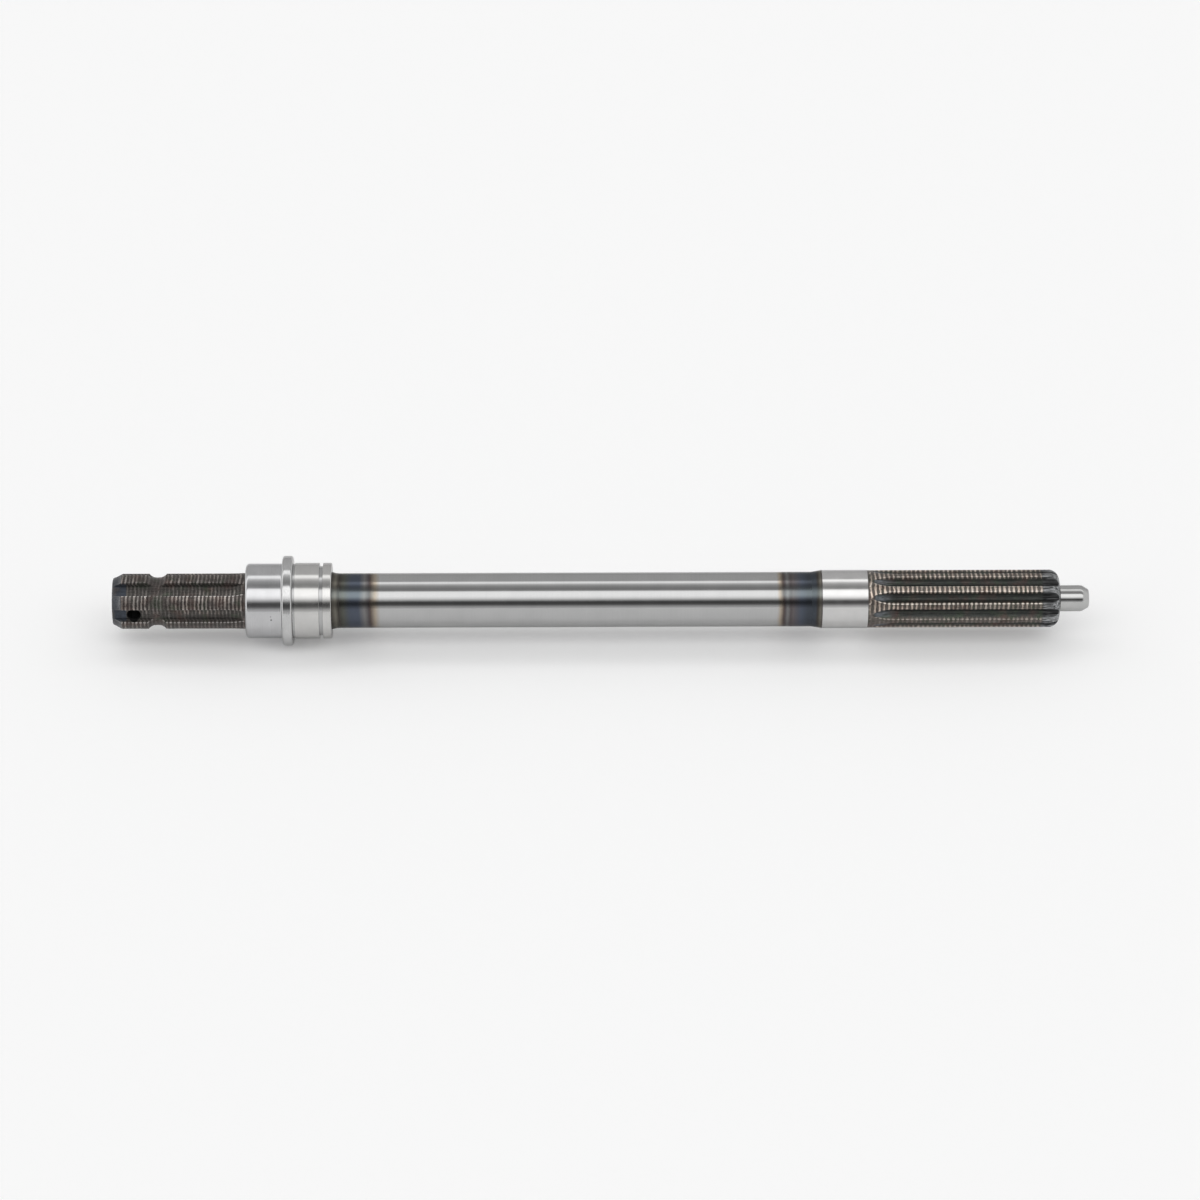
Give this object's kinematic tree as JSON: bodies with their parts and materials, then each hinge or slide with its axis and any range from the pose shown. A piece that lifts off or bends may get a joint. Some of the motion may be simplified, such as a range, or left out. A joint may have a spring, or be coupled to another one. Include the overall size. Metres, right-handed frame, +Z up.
{
  "type": "power take-off shaft",
  "caption": "Rigid tractor power take-off shaft: splined output stub, pressed bearing sleeve with collar, plain bar, splined inner stub and pilot pin.",
  "frame": {"origin": "on the shaft's axis, at the middle of the bearing seat", "axes": "+X along the shaft towards its inner, pilot end; +Z up; the pin hole in the output stub runs along Y"},
  "size_m": [0.6031, 0.0556, 0.0556],
  "materials": {
    "oxide_steel": "brown-black heat-treatment oxide on machined and milled surfaces, satin",
    "turned_steel": "bright, fine turned and ground rings",
    "bar_steel": "polished bar, blue, brown and straw heat tint at each end",
    "spline_steel": "brown-black oxide with cross-wise cutter marks, bright ground journal beside it",
    "ground_steel": "bright ground"
  },
  "bodies": {
    "root": {"pto_stub": "oxide_steel", "bearing_sleeve": "turned_steel", "centre_bar": "bar_steel", "drive_stub": "spline_steel", "pilot_pin": "ground_steel"}
  },
  "joints": []
}
